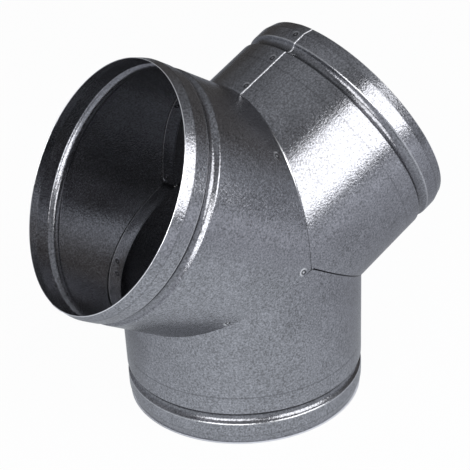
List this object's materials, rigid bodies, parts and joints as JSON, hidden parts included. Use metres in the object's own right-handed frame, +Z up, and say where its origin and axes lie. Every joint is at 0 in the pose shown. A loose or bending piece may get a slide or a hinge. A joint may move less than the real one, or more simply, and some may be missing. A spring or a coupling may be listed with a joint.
{
  "type": "duct y branch",
  "caption": "Sheet metal Y branch for round ventilation duct: equal mitred legs with lapped, spot welded seams, each ending in a spigot with a tapered lead-in and a rolled bead.",
  "frame": {"origin": "centre of the stem's rim, on the surface that the part stands on", "axes": "+Z up the stem's axis, +X towards the right branch in the plane of the three axes, +Y square to that plane"},
  "size_m": [0.3315, 0.199, 0.2962],
  "materials": {
    "galvanised_sheet": "fine-grained galvanised sheet, satin"
  },
  "bodies": {
    "root": {"base_leg": "galvanised_sheet", "right_leg": "galvanised_sheet", "left_leg": "galvanised_sheet"}
  },
  "joints": []
}
